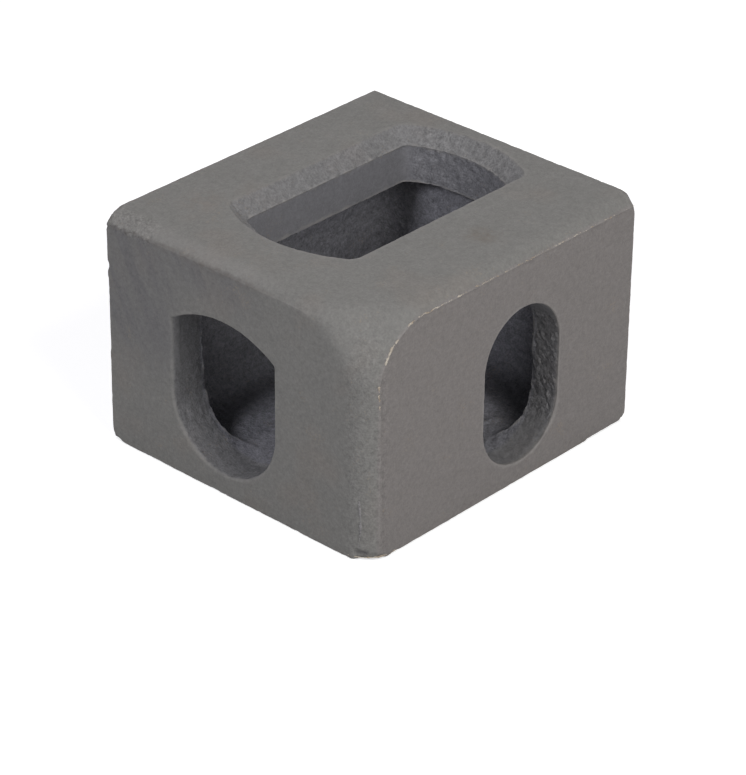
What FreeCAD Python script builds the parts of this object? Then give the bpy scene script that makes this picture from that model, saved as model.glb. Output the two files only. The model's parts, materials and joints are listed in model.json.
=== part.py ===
import FreeCAD, Part

# Corner casting of a freight container: one hollow steel casting.
# Millimetres, +Z up. The origin is the middle of the base.
# The end face looks towards -X and the side face towards -Y. Each has an aperture, and the
# rounded upright of the container's corner lies between them. The faces towards +X and +Y
# are plain, because the rails of the container's frame are welded to them.

import math
import os

from FreeCAD import Vector

# Outside sizes
length = 178.0
width = 162.0
height = 118.0

# Walls round the hollow. The top wall takes what the apertures below it leave of the height.
side_wall = 16.0
end_wall = 20.0
end_rail_wall = 12.0
side_rail_wall = 18.0
floor_wall = 10.0
hollow_upright_r = 13.0
hollow_floor_r = 12.0
hollow_ceiling_r = 5.0

# Middle line of the three apertures, from the end face and from the side face
aperture_from_end = 101.5
aperture_from_side = 89.0

# Top aperture: a round hole with two flats and a bevel round its mouth
top_hole_diameter = 124.0
top_hole_flats = 63.5
top_hole_corner_r = 5.0
bevel_depth = 7.3
bevel_spread = 7.8
bevel_corner_r = 5.0

# Side aperture: an upright slot with round ends. End aperture: a shield with an arched
# crown and a round foot. Both stand on a small lip above the floor of the hollow, and the
# ceiling of the hollow lies a small lip above the side one. The crown stays a drop lower.
hole_height = 79.5
lip_above_floor = 0.5
lip_below_ceiling = 1.5
side_hole_width = 51.0
end_hole_width = 63.5
crown_r = 56.0
crown_drop = 1.2
crown_corner_r = 2.0
side_rim_r = 0.8
end_rim_r = 1.5

# Rounding of the edge between the top and end faces, by how far it drops down the end face:
# at the rail, in the middle and at the outer corner, where it swells. It runs smoothly into
# the top face. Past the crease's start, counted from the side face, it also meets the end
# face at a lean, in degrees, which leaves a crease.
top_end_drop_at_rail = 6.2
top_end_drop_in_middle = 4.5
top_end_drop_at_corner = 41.0
top_end_lean = 30.0
crease_start = 20.0
swell_length = 47.0
swell_power = 1.5
swell_sections = 6
crease_sections = 12
section_crowding = 1.4

# Rounding of the side face's border. The casting is ground back by the trim to make the side
# face, and this leaves a crease along the border.
side_trim = 1.8
top_side_r = 11.5
upright_r = 14.5

# Edges of the base and of the two rail faces
base_edge_r = 0.8
rail_edge_r = 0.8

# How far a cutting solid runs past what it cuts, and what counts as the same place
overrun = 5.0
same_place = 0.01

# Places worked out from the sizes above
end_x = -length / 2
rail_x = length / 2
side_y = -width / 2
rail_y = width / 2
parting_y = side_y - side_trim
crease_y = side_y + crease_start
hole_x = end_x + aperture_from_end
hole_y = side_y + aperture_from_side
hole_foot_z = floor_wall + lip_above_floor
hole_top_z = hole_foot_z + hole_height
hole_top_below_face = height - hole_top_z
top_wall = hole_top_below_face - lip_below_ceiling
ceiling_z = height - top_wall


def level_plane(z):
    """Place for plane points (x, y) at height z."""
    return lambda x, y: Vector(x, y, z)


def end_plane(x):
    """Place for plane points (y, z) at x."""
    return lambda y, z: Vector(x, y, z)


def side_plane(y):
    """Place for plane points (x, z) at y."""
    return lambda x, z: Vector(x, y, z)


def line(place, first, last):
    """Straight edge between two plane points."""
    return Part.LineSegment(place(*first), place(*last)).toShape()


def arc(place, centre, radius, start, end):
    """Arc edge about a centre, from one angle to another in degrees."""
    def at(angle):
        turn = math.radians(angle)
        return place(centre[0] + radius * math.cos(turn), centre[1] + radius * math.sin(turn))
    return Part.Arc(at(start), at((start + end) / 2), at(end)).toShape()


def prism(outline, direction):
    """Solid made by sliding a closed outline along a direction."""
    return Part.Face(outline).extrude(direction)


def edges_where(shape, test):
    """Edges of a shape that pass the test at both ends and in the middle."""
    found = []
    for edge in shape.Edges:
        first, last = edge.ParameterRange
        points = [edge.valueAt(first + (last - first) * share) for share in (0.01, 0.5, 0.99)]
        if all(test(point) for point in points):
            found.append(edge)
    return found


def near(first, second):
    """Whether two sizes are the same."""
    return abs(first - second) < same_place


def share_between(value, start, end):
    """How far a value lies from start to end, held between 0 and 1."""
    return min(max((value - start) / (end - start), 0.0), 1.0)


def eased(share):
    """A share between 0 and 1, with a slow start and a slow end."""
    return share ** 2 * (3 - 2 * share)


def top_end_drop(y):
    """How far the top and end rounding drops down the end face at a place along Y."""
    towards_rail = share_between(y, hole_y, rail_y)
    plain = top_end_drop_in_middle + (top_end_drop_at_rail - top_end_drop_in_middle) * towards_rail ** 2
    swell = eased(share_between(y, parting_y + swell_length, parting_y)) ** swell_power
    return plain + (top_end_drop_at_corner - plain) * swell


def rounding_section(y):
    """Outline of what comes off the edge between the top and end faces at a place along Y."""
    lean = top_end_lean * eased(share_between(y, crease_y, parting_y + swell_length))
    turn = math.radians(lean)
    drop = top_end_drop(y)
    radius = drop / (1 - math.sin(turn))
    place = side_plane(y)
    on_top = (end_x + radius * math.cos(turn), height)
    on_end = (end_x, height - drop)
    outer_x = end_x - overrun
    outer_z = height + overrun
    return Part.Wire([
        arc(place, (on_top[0], height - radius), radius, 90, 180 - lean),
        line(place, on_end, (outer_x, on_end[1])),
        line(place, (outer_x, on_end[1]), (outer_x, outer_z)),
        line(place, (outer_x, outer_z), (on_top[0], outer_z)),
        line(place, (on_top[0], outer_z), on_top),
    ])


def rounding_stretch(start_y, end_y, sections, crowding):
    """What comes off the edge between the top and end faces from one place along Y to another."""
    places = [start_y + (end_y - start_y) * (index / sections) ** crowding for index in range(sections + 1)]
    return Part.makeLoft([rounding_section(y) for y in places], True, False)


def top_end_rounding():
    """What comes off the edge between the top and end faces: swelling and creased stretch."""
    return [
        rounding_stretch(parting_y, crease_y, swell_sections, 1),
        rounding_stretch(crease_y, rail_y, crease_sections, section_crowding),
    ]


def border_edges(body):
    """Numbers and radii of the side face's border: top edge, outer corner and upright."""
    chosen = []
    for number, edge in enumerate(body.Edges, 1):
        ends = [vertex.Point for vertex in edge.Vertexes]
        on_parting = all(near(point.y, parting_y) for point in ends)
        at_rail = all(near(point.x, rail_x) for point in ends)
        at_base = all(near(point.z, 0) for point in ends)
        if not on_parting or at_rail or at_base:
            continue
        radii = [top_side_r if near(point.z, height) else upright_r for point in ends]
        # Where the radius changes, the pair is given from the far end of the edge
        chosen.append((number, radii[-1], radii[0]))
    return chosen


def round_side_border(body):
    """Round the side face's border, with a radius that changes round the outer corner."""
    document = FreeCAD.newDocument()
    blank = document.addObject("Part::Feature", "blank")
    blank.Shape = body
    rounding = document.addObject("Part::Fillet", "rounding")
    rounding.Base = blank
    rounding.Edges = border_edges(body)
    document.recompute()
    rounded = rounding.Shape.copy()
    FreeCAD.closeDocument(document.Name)
    return rounded


def outside():
    """Solid casting with its rounded edges and its ground side face, before any aperture."""
    blank = Part.makeBox(length, width + side_trim, height, Vector(end_x, parting_y, 0))
    body = round_side_border(blank.cut(top_end_rounding()))
    trim_corner = Vector(end_x - overrun, parting_y - overrun, -overrun)
    trim = Part.makeBox(length + 2 * overrun, side_trim + overrun, height + 2 * overrun, trim_corner)
    body = body.cut(trim)

    def on_rail_face(point):
        return not near(point.z, 0) and (near(point.x, rail_x) or near(point.y, rail_y))
    return body.makeFillet(rail_edge_r, edges_where(body, on_rail_face))


def hollow():
    """The room inside, with wide uprights and floor edges and smaller ceiling edges."""
    low = Vector(end_x + end_wall, side_y + side_wall, floor_wall)
    high = Vector(rail_x - end_rail_wall, rail_y - side_rail_wall, ceiling_z)
    room = Part.makeBox(high.x - low.x, high.y - low.y, high.z - low.z, low)

    def on_upright(point):
        return low.z < point.z < high.z
    room = room.makeFillet(hollow_upright_r, edges_where(room, on_upright))

    def on_floor(point):
        return near(point.z, low.z)

    def on_ceiling(point):
        return near(point.z, high.z)
    room = room.makeFillet(hollow_floor_r, edges_where(room, on_floor))
    return room.makeFillet(hollow_ceiling_r, edges_where(room, on_ceiling))


def top_outline(z, spread, corner_r):
    """Outline of the top aperture at a height, moved outwards by a spread."""
    round_r = top_hole_diameter / 2 + spread
    half_flats = top_hole_flats / 2 + spread
    # Each corner arc touches a flat and a round end from inside
    corner_y = half_flats - corner_r
    corner_x = math.sqrt((round_r - corner_r) ** 2 - corner_y ** 2)
    lean = math.degrees(math.atan2(corner_y, corner_x))
    place = level_plane(z)
    edges = []
    for side, turn in ((1, 0), (-1, 180)):
        first_corner = (hole_x + side * corner_x, hole_y - side * corner_y)
        next_corner = (hole_x + side * corner_x, hole_y + side * corner_y)
        flat_y = hole_y + side * half_flats
        edges += [
            arc(place, first_corner, corner_r, turn - 90, turn - lean),
            arc(place, (hole_x, hole_y), round_r, turn - lean, turn + lean),
            arc(place, next_corner, corner_r, turn + lean, turn + 90),
            line(place, (next_corner[0], flat_y), (hole_x - side * corner_x, flat_y)),
        ]
    return Part.Wire(edges)


def top_aperture():
    """The top aperture with the bevel round its mouth."""
    throat_foot = top_outline(ceiling_z - overrun, 0, top_hole_corner_r)
    throat = prism(throat_foot, Vector(0, 0, top_wall + overrun))
    # The bevel runs on past the top face at the same slope
    past_face = bevel_spread * overrun / bevel_depth
    foot = top_outline(height - bevel_depth, 0, top_hole_corner_r)
    mouth = top_outline(height + overrun, bevel_spread + past_face, bevel_corner_r + past_face)
    return throat.fuse(Part.makeLoft([foot, mouth], True, True))


def side_aperture():
    """Upright slot through the side wall."""
    radius = side_hole_width / 2
    foot_z = hole_foot_z + radius
    head_z = hole_top_z - radius
    place = side_plane(side_y - overrun)
    outline = Part.Wire([
        arc(place, (hole_x, foot_z), radius, 180, 360),
        line(place, (hole_x + radius, foot_z), (hole_x + radius, head_z)),
        arc(place, (hole_x, head_z), radius, 0, 180),
        line(place, (hole_x - radius, head_z), (hole_x - radius, foot_z)),
    ])
    return prism(outline, Vector(0, side_wall + hollow_floor_r + 2 * overrun, 0))


def end_aperture():
    """Shield through the end wall, with an arched crown and a round foot."""
    half = end_hole_width / 2
    foot_z = hole_foot_z + half
    crown_z = hole_top_z - crown_drop - crown_r
    lean = math.degrees(math.acos(half / crown_r))
    shoulder_z = crown_z + math.sqrt(crown_r ** 2 - half ** 2)
    place = end_plane(end_x - overrun)
    outline = Part.Wire([
        arc(place, (hole_y, foot_z), half, 180, 360),
        line(place, (hole_y + half, foot_z), (hole_y + half, shoulder_z)),
        arc(place, (hole_y, crown_z), crown_r, lean, 180 - lean),
        line(place, (hole_y - half, shoulder_z), (hole_y - half, foot_z)),
    ])
    shield = prism(outline, Vector(end_wall + hollow_floor_r + 2 * overrun, 0, 0))

    def on_shoulder(point):
        return near(point.z, shoulder_z)
    return shield.makeFillet(crown_corner_r, edges_where(shield, on_shoulder))


def round_rims(body):
    """Take the sharp edge off the outer rims of the side and end apertures."""
    def level_with_hole(point):
        return hole_foot_z - same_place < point.z < hole_top_z + same_place

    def on_side_rim(point):
        beside_hole = abs(point.x - hole_x) < side_hole_width / 2 + same_place
        return near(point.y, side_y) and beside_hole and level_with_hole(point)

    def on_end_rim(point):
        beside_hole = abs(point.y - hole_y) < end_hole_width / 2 + same_place
        return near(point.x, end_x) and beside_hole and level_with_hole(point)
    body = body.makeFillet(side_rim_r, edges_where(body, on_side_rim))
    return body.makeFillet(end_rim_r, edges_where(body, on_end_rim))


def round_base(body):
    """Round the edges of the base."""
    def on_base(point):
        return near(point.z, 0)
    return body.makeFillet(base_edge_r, edges_where(body, on_base))


def casting():
    """The finished casting: its outside, less the hollow and the three apertures."""
    body = outside().cut([hollow(), top_aperture(), side_aperture(), end_aperture()])
    return round_base(round_rims(body))


if __name__ == "__main__":
    os.makedirs("parts", exist_ok=True)
    casting().exportStep("parts/corner_casting.step")
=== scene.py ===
"""Container corner casting: one rough steel casting under plain studio light.

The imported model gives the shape. Here its skin gets the relief of a sand casting, a broken
flash line along the ground side face, and a matt grey finish. All sizes are in metres in the
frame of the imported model; those below a few centimetres are written in millimetres times MM.
"""

import json
import logging
import math
from dataclasses import dataclass, fields
from enum import Enum

import bmesh
import bpy
import numpy as np
from mathutils import Matrix, Vector
from mathutils.geometry import intersect_point_line
from mathutils.kdtree import KDTree


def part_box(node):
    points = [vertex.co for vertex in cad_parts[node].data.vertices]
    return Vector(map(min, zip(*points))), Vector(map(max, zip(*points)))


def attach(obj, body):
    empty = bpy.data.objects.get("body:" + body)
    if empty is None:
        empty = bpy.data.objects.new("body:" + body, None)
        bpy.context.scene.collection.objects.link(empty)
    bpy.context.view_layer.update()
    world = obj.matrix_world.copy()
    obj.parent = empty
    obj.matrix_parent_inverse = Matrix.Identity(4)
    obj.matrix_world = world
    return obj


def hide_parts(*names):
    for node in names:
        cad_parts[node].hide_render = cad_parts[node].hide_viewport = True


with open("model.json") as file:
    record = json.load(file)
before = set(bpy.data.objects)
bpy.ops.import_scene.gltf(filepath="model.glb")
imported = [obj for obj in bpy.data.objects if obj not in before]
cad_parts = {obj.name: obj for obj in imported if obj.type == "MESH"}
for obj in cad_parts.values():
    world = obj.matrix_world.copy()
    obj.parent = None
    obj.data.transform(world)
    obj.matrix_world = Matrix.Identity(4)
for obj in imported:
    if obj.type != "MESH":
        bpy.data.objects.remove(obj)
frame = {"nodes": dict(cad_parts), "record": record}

NODE = "corner_casting"
BODY = "root"
MM = 0.001

Socket = bpy.types.NodeSocket
Colour = tuple[float, float, float, float]
Place = tuple[float, float, float]

log = logging.getLogger("corner_casting")


class Mask(Enum):
    """Values that the casting's mesh carries at each of its points."""

    CORE = "core"
    RIPPLE = "ripple"
    # Share of the cool tint in the hollow, the reveals and the mouth: painted cool shade, partly the as-cast
    # scale.
    INSIDE = "inside"
    BEND = "bend"
    # Depth of chips and grooves; the colour darkens with it as painted shade.
    DENT = "dent"
    GROUND = "ground"
    COARSE = "coarse"
    STREAKED = "streaked"
    # Painted shade along sheltered edges, the mouth's far rim and the end face's crease.
    BORDER = "border"
    # Paler band on the top and end rounding: painted highlight, partly wear.
    POLISHED = "polished"


def colour(red: float, green: float, blue: float) -> Colour:
    """Turn a colour as it looks on a screen, 0 to 255, into the linear one that shaders take.

    Args:
        red: Red as it looks.
        green: Green as it looks.
        blue: Blue as it looks.

    Returns:
        The linear colour with full cover.
    """
    def linear(level: float) -> float:
        """Linear value of one channel."""
        share = level / 255
        return share / 12.92 if share <= 0.04045 else ((share + 0.055) / 1.055) ** 2.4

    return linear(red), linear(green), linear(blue), 1.0


def rise(value: np.ndarray, start: float, end: float) -> np.ndarray:
    """Smooth rise from 0 at start to 1 at end, or a fall where end lies below start."""
    share = np.clip((value - start) / (end - start), 0.0, 1.0)
    return share * share * (3 - 2 * share)


def at(x: float, y: float, z: float) -> Place:
    """Place that is given in millimetres."""
    return x * MM, y * MM, z * MM


class Bench:
    """Places nodes in one tree and wires them up."""

    def __init__(self, tree: bpy.types.NodeTree) -> None:
        """Keep the tree that the nodes go into."""
        self.tree = tree

    def add(self, kind: str, feeds: dict[str | int, object] | None = None,
            **settings: object) -> bpy.types.Node:
        """Place a node.

        Args:
            kind: The node's type.
            feeds: A value or another node's output for each input, by name or number.
            settings: Values for the node's own properties.

        Returns:
            The new node.
        """
        node = self.tree.nodes.new(kind)
        for name, value in settings.items():
            setattr(node, name, value)
        for key, value in (feeds or {}).items():
            if isinstance(value, Socket):
                self.tree.links.new(value, node.inputs[key])
            else:
                node.inputs[key].default_value = value
        return node

    def math(self, operation: str, first: object, second: object = 0.0, clamp: bool = False) -> Socket:
        """Combine two numbers, and hold the result between 0 and 1 if asked."""
        feeds = {0: first, 1: second}
        return self.add("ShaderNodeMath", feeds, operation=operation, use_clamp=clamp).outputs[0]

    def times(self, first: object, second: object) -> Socket:
        """Multiply two numbers."""
        return self.math("MULTIPLY", first, second)

    def total(self, *parts: object) -> Socket:
        """Add up several numbers or outputs.

        Args:
            parts: What is added up.

        Returns:
            The sum's output.
        """
        result = parts[0]
        for part in parts[1:]:
            result = self.math("ADD", result, part)
        return result

    def vector(self, operation: str, first: object, second: object = (0.0, 0.0, 0.0)) -> bpy.types.Node:
        """Combine two vectors in a node of its own."""
        return self.add("ShaderNodeVectorMath", {0: first, 1: second}, operation=operation)

    def scale(self, vector: Socket, factor: object) -> Socket:
        """Multiply a vector or a colour by a number."""
        return self.add("ShaderNodeVectorMath", {0: vector, "Scale": factor}, operation="SCALE").outputs[0]

    def span(self, value: Socket, start: float, end: float, low: float = 0.0, high: float = 1.0) -> Socket:
        """Carry a value smoothly from the range start to end over to the range low to high."""
        feeds = {"Value": value, "From Min": start, "From Max": end, "To Min": low, "To Max": high}
        return self.add("ShaderNodeMapRange", feeds, interpolation_type="SMOOTHSTEP").outputs["Result"]

    def noise(self, coords: Socket, size: object, seed: object, detail: float = 2.0) -> Socket:
        """Soft random values between 0 and 1.

        Args:
            coords: Where they are read.
            size: How far apart their peaks are, in metres.
            seed: Picks the pattern.
            detail: How many finer layers are laid on it.

        Returns:
            The values' output.
        """
        scale = self.math("DIVIDE", 1.0, size)
        feeds = {"Vector": coords, "W": seed, "Scale": scale, "Detail": detail, "Roughness": 0.55}
        return self.add("ShaderNodeTexNoise", feeds, noise_dimensions="4D").outputs[0]

    def blend(self, share: object, first: object, second: object, mode: str = "MIX") -> Socket:
        """Mix two colours; share says how much of the second there is."""
        feeds = {0: share, 6: first, 7: second}
        return self.add("ShaderNodeMix", feeds, data_type="RGBA", blend_type=mode).outputs[2]

    def close(self, base: Socket, roughness: object, specular: float, height: Socket, depth: float) -> None:
        """Close a material with a rough surface.

        Args:
            base: Its colour.
            roughness: Its roughness.
            specular: How strongly it shines.
            height: Height of its fine relief, 0 to 1.
            depth: How deep that relief is, in metres.
        """
        bump = self.add("ShaderNodeBump", {"Strength": 1.0, "Distance": depth, "Height": height})
        surface = self.add("ShaderNodeBsdfPrincipled", {
            "Base Color": base, "Roughness": roughness, "Specular IOR Level": specular,
            "Normal": bump.outputs[0]})
        self.add("ShaderNodeOutputMaterial", {"Surface": surface.outputs[0]})

    def value_of(self, mask: Mask) -> Socket:
        """Value of a mask of the casting's mesh, in a material or in a geometry tree.

        Args:
            mask: The mask to read.

        Returns:
            The value's output.
        """
        if self.tree.type == "SHADER":
            return self.add("ShaderNodeAttribute", attribute_name=mask.value).outputs["Fac"]
        feeds = {"Name": mask.value}
        return self.add("GeometryNodeInputNamedAttribute", feeds, data_type="FLOAT").outputs[0]


def new_tree(name: str, kind: str, inputs: dict[str, str], outputs: dict[str, str]) -> bpy.types.NodeTree:
    """Start a node tree with named inputs and outputs.

    Args:
        name: The tree's name.
        kind: The tree's type.
        inputs: Socket type of each input.
        outputs: Socket type of each output.

    Returns:
        The tree, with nothing in it yet.
    """
    tree = bpy.data.node_groups.new(name, kind)
    for label, socket_type in inputs.items():
        tree.interface.new_socket(label, in_out="INPUT", socket_type=socket_type)
    for label, socket_type in outputs.items():
        tree.interface.new_socket(label, in_out="OUTPUT", socket_type=socket_type)
    return tree


def new_material(name: str) -> tuple[bpy.types.Material, Bench]:
    """Start a material with no nodes in it.

    Args:
        name: The material's name.

    Returns:
        The material, and a bench for its nodes.
    """
    material = bpy.data.materials.new(name)
    material.use_nodes = True
    material.node_tree.nodes.clear()
    return material, Bench(material.node_tree)


def apply_tree(piece: bpy.types.Object, tree: bpy.types.NodeTree, values: dict[str, object]) -> None:
    """Put a geometry tree on an object and set its inputs.

    Args:
        piece: The object.
        tree: The geometry tree.
        values: Value of each input, by its name.
    """
    modifier = piece.modifiers.new(tree.name, "NODES")
    modifier.node_group = tree
    for item in tree.interface.items_tree:
        if item.in_out == "INPUT" and item.name in values:
            modifier[item.identifier] = values[item.name]


def solid_copy(piece: bpy.types.Object, name: str) -> bpy.types.Mesh:
    """Plain mesh of an object with its modifiers applied, which takes the object away.

    Args:
        piece: The object.
        name: Name of the mesh.

    Returns:
        The mesh.
    """
    bpy.context.view_layer.update()
    graph = bpy.context.evaluated_depsgraph_get()
    mesh = bpy.data.meshes.new_from_object(piece.evaluated_get(graph))
    bpy.data.objects.remove(piece)
    mesh.name = name
    return mesh


def place_object(name: str, data: bpy.types.ID) -> bpy.types.Object:
    """Put a mesh, curve or lamp in the scene as an object at the origin."""
    piece = bpy.data.objects.new(name, data)
    bpy.context.scene.collection.objects.link(piece)
    return piece


def mesh_points(mesh: bpy.types.Mesh) -> np.ndarray:
    """Places of a mesh's points, one row each."""
    flat = np.empty(len(mesh.vertices) * 3, np.float32)
    mesh.vertices.foreach_get("co", flat)
    return flat.reshape(-1, 3).astype(float)


def edge_ends(mesh: bpy.types.Mesh) -> tuple[np.ndarray, np.ndarray]:
    """Numbers of the points at the first and at the second end of each edge."""
    pairs = np.empty(len(mesh.edges) * 2, np.int32)
    mesh.edges.foreach_get("vertices", pairs)
    first, second = pairs.reshape(-1, 2).T
    return first, second


def neighbour_total(values: np.ndarray, first: np.ndarray, second: np.ndarray) -> np.ndarray:
    """Sum of the values of each point's neighbours."""
    many = len(values)
    return np.bincount(first, values[second], many) + np.bincount(second, values[first], many)


# Shared shader effects

def grain_group() -> bpy.types.NodeTree:
    """Grain of sand-cast metal: a fine height and a tone that goes with it.

    Returns:
        The shader group.
    """
    inputs = {"Vector": "NodeSocketVector", "Size": "NodeSocketFloat", "Seed": "NodeSocketFloat"}
    outputs = {"Height": "NodeSocketFloat", "Tone": "NodeSocketFloat"}
    tree = new_tree("cast grain", "ShaderNodeTree", inputs, outputs)
    bench = Bench(tree)
    given = bench.add("NodeGroupInput").outputs
    fine = bench.noise(given["Vector"], given["Size"], given["Seed"], 2.0)
    wide = bench.noise(given["Vector"], bench.times(given["Size"], 2.6), given["Seed"], 1.0)
    height = bench.total(bench.times(fine, 0.6), bench.times(wide, 0.4))
    tone = bench.math("SUBTRACT", height, 0.5)
    bench.add("NodeGroupOutput", {"Height": height, "Tone": tone})
    return tree


def speck_group() -> bpy.types.NodeTree:
    """Scattered specks, as a mask.

    Returns:
        The shader group.
    """
    inputs = {"Vector": "NodeSocketVector", "Size": "NodeSocketFloat", "Seed": "NodeSocketFloat",
              "Share": "NodeSocketFloat"}
    tree = new_tree("specks", "ShaderNodeTree", inputs, {"Mask": "NodeSocketFloat"})
    bench = Bench(tree)
    given = bench.add("NodeGroupInput").outputs
    fine = bench.noise(given["Vector"], given["Size"], given["Seed"], 1.0)
    patch = bench.noise(given["Vector"], bench.times(given["Size"], 14.0), given["Seed"], 1.0)
    level = bench.total(bench.times(fine, 0.6), bench.times(patch, 0.4))
    edge = bench.math("SUBTRACT", 1.0, given["Share"])
    over = bench.math("DIVIDE", bench.math("SUBTRACT", level, edge), 0.03, clamp=True)
    bench.add("NodeGroupOutput", {"Mask": over})
    return tree


@dataclass(frozen=True)
class SharedEffects:
    """Shader groups that more than one finish uses."""

    grain: bpy.types.NodeTree
    specks: bpy.types.NodeTree


# Finishes

@dataclass(frozen=True)
class Stain:
    """A soft discoloured spot on the skin, or a soft patch of painted shade."""

    middle: Place
    reach: float
    strength: float
    tone: Colour = colour(99, 86, 72)


@dataclass(frozen=True)
class CastSkin:
    """Matt grey skin of the casting, darker and cooler inside (painted cool shade, partly its as-cast scale),
    paler on its edges (painted highlight, partly wear).
    """

    skin: Colour = colour(117, 116, 113)
    warm_patch: Colour = colour(119, 116, 112)
    ground: Colour = colour(119, 115, 113)
    # Cool colour of the walls inside: painted cool shade for the bluish light in them, partly the as-cast
    # scale.
    inside: Colour = colour(117, 117, 122)
    # Pale edge colour: painted highlight where edges catch the light, partly edge wear.
    rubbed: Colour = colour(146, 143, 140)
    # Colour of the deepest chips and of the groove under the flash: painted shade.
    pit: Colour = colour(70, 68, 70)
    speck: Colour = colour(142, 128, 110)
    # Dark brown-grey of painted shade on edges turned away from the light, broken up by noise.
    border: Colour = colour(92, 86, 80)
    streak: Colour = colour(101, 100, 101)
    roughness: float = 0.72
    specular: float = 0.25
    grain_size: float = 0.92 * MM
    grain_depth: float = 0.36 * MM
    grain_tone: float = 0.9
    mottle_size: float = 7 * MM
    mottle_tone: float = 0.07
    patch_size: float = 30 * MM
    streak_size: float = 7 * MM
    streak_stretch: float = 0.13
    streak_lean: float = math.radians(27)
    # Share of the streak colour between the streaks, so that the whole area is evenly darker.
    streak_low: float = 0.45
    streak_high: float = 0.8
    core_wear: float = 0.8
    calm_lift: float = 0.6
    worn_lift: float = 2.4
    worn_tone: float = 2.8
    speck_size: float = 0.9 * MM
    speck_share: float = 0.36
    speck_strength: float = 0.35
    # Share of the paler colour on the top and end rounding: painted highlight, partly wear.
    polish: float = 0.25
    break_size: float = 2.4 * MM
    ragged_size: float = 4 * MM
    stains: tuple[Stain, ...] = (
        Stain(at(10.6, -55.8, 118), 11 * MM, 0.45),
        Stain(at(-82.5, -40.5, 112), 5 * MM, 0.5),
        Stain(at(-76.2, -53.6, 108), 4 * MM, 0.5),
        Stain(at(-52, 56, 118), 17 * MM, 0.16, colour(126, 104, 88)),
        # Not a stain: painted shade at the top of the side aperture's right reveal, under its lintel.
        Stain(at(36, -66, 91), 15.5 * MM, 0.75, colour(78, 78, 86)),
    )

    def with_stains(self, bench: Bench, base: Socket, coords: Socket) -> Socket:
        """Lay the stain spots, and one patch of painted shade, on a colour, with ragged edges.

        Args:
            bench: The material's nodes.
            base: The colour.
            coords: Places on the casting.

        Returns:
            The colour's output.
        """
        ragged = bench.span(bench.noise(coords, self.ragged_size, 5.0, 3.0), 0.3, 0.6)
        for stain in self.stains:
            apart = bench.vector("DISTANCE", coords, stain.middle).outputs["Value"]
            spot = bench.times(bench.span(apart, 0.0, stain.reach, 1.0, 0.0), stain.strength)
            base = bench.blend(bench.times(spot, ragged), base, stain.tone)
        return base

    def build(self, effects: SharedEffects) -> bpy.types.Material:
        """Make the material.

        Args:
            effects: The shared shader groups.

        Returns:
            The material.
        """
        material, bench = new_material("cast_skin")
        coords = bench.add("ShaderNodeTexCoord").outputs["Object"]
        grain = bench.add("ShaderNodeGroup", {"Vector": coords, "Size": self.grain_size, "Seed": 2.0},
                          node_tree=effects.grain).outputs
        patch = bench.noise(coords, self.patch_size, 3.0, 2.0)
        mottle = bench.noise(coords, self.mottle_size, 4.0, 4.0)
        worn = bench.math("MAXIMUM", bench.times(bench.value_of(Mask.CORE), self.core_wear),
                          bench.value_of(Mask.COARSE))
        worn = bench.math("MAXIMUM", bench.times(bench.value_of(Mask.RIPPLE), self.core_wear), worn)
        base = bench.blend(bench.span(patch, 0.5, 0.7), self.skin, self.warm_patch)
        base = bench.blend(bench.value_of(Mask.GROUND), base, self.ground)
        # Painted cool shade on the walls inside, partly the as-cast scale.
        base = bench.blend(bench.value_of(Mask.INSIDE), base, self.inside)
        base = bench.blend(self.streak_mask(bench, coords), base, self.streak)
        base = self.with_tone(bench, base, mottle, grain["Tone"], worn)
        specks = bench.add("ShaderNodeGroup", {"Vector": coords, "Size": self.speck_size, "Seed": 7.0,
                                               "Share": self.speck_share}, node_tree=effects.specks)
        base = bench.blend(bench.times(specks.outputs["Mask"], self.speck_strength), base, self.speck)
        base = self.with_edges(bench, self.with_stains(bench, base, coords), coords, mottle)
        lift = bench.span(worn, 0.0, 1.0, self.calm_lift, self.worn_lift)
        roughness = bench.span(mottle, 0.3, 0.7, self.roughness - 0.05, self.roughness + 0.08)
        bench.close(base, roughness, self.specular, bench.times(grain["Height"], lift), self.grain_depth)
        return material

    def with_edges(self, bench: Bench, base: Socket, coords: Socket, mottle: Socket) -> Socket:
        """Lay the painted edge highlights (partly wear), the painted shade along sheltered edges and the
        painted shade in chips on a colour.

        Args:
            bench: The material's nodes.
            base: The colour.
            coords: Places on the casting.
            mottle: Wide soft variation, 0 to 1.

        Returns:
            The colour's output.
        """
        # Painted shade along sheltered edges, the mouth's far rim and the end face's crease.
        border = bench.value_of(Mask.BORDER)
        # Convex edges paler: painted highlight, partly wear.
        rubbed = bench.times(bench.span(bench.value_of(Mask.BEND), 0.035, 0.12),
                             bench.span(mottle, 0.4, 0.65, 0.25, 0.6))
        # The top and end rounding paler too: painted highlight, partly wear.
        rubbed = bench.math("MAXIMUM", rubbed, bench.times(bench.value_of(Mask.POLISHED), self.polish))
        rubbed = bench.times(rubbed, bench.math("SUBTRACT", 1.0, border))
        base = bench.blend(rubbed, base, self.rubbed)
        broken = bench.span(bench.noise(coords, self.break_size, 14.0, 2.0), 0.38, 0.6, 0.25, 0.85)
        base = bench.blend(bench.times(border, broken), base, self.border)
        # Chips and the groove under the flash darker by their depth: painted shade in them.
        deep = bench.span(bench.value_of(Mask.DENT), 0.15 * MM, 0.7 * MM, 0.0, 0.7)
        return bench.blend(deep, base, self.pit)

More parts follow.
